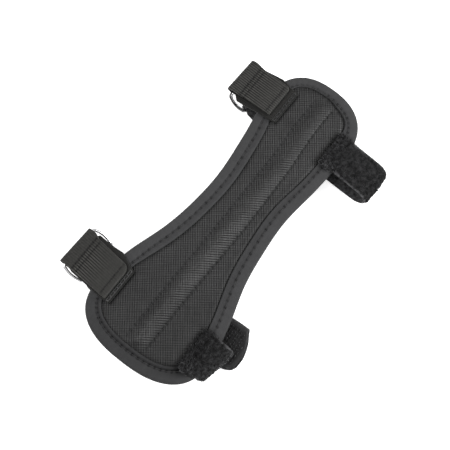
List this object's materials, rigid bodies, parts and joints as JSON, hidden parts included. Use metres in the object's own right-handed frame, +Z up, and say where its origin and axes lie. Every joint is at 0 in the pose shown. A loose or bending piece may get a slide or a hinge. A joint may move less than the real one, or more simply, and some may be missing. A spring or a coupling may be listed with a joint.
{
  "type": "forearm guard",
  "caption": "Padded hourglass forearm guard for archery with a bound edge, a raised rib, webbing tabs with wire rings and hook-and-loop straps fastened beneath it.",
  "frame": {"origin": "middle of the whole object's box in plan, on the surface that it lies on", "axes": "+X along the guard to the narrow wrist end, +Y across it to the ring side, +Z up, out of the front of the guard"},
  "size_m": [0.178, 0.1042, 0.0212],
  "materials": {
    "padded_cloth": "black woven nylon over padding",
    "binding": "smooth dark grey edge tape",
    "webbing": "black ribbed webbing",
    "wire": "bright plated steel wire",
    "loop_tape": "black fuzzy loop tape",
    "hook_tape": "black hook tape"
  },
  "bodies": {
    "root": {"panel": "padded_cloth", "edge_tape": "binding", "tab_wide": "webbing", "tab_narrow": "webbing", "ring_wide": "wire", "ring_narrow": "wire", "strap_wide": "loop_tape", "strap_narrow": "loop_tape", "hook_patch_wide": "hook_tape", "hook_patch_narrow": "hook_tape"}
  },
  "joints": []
}
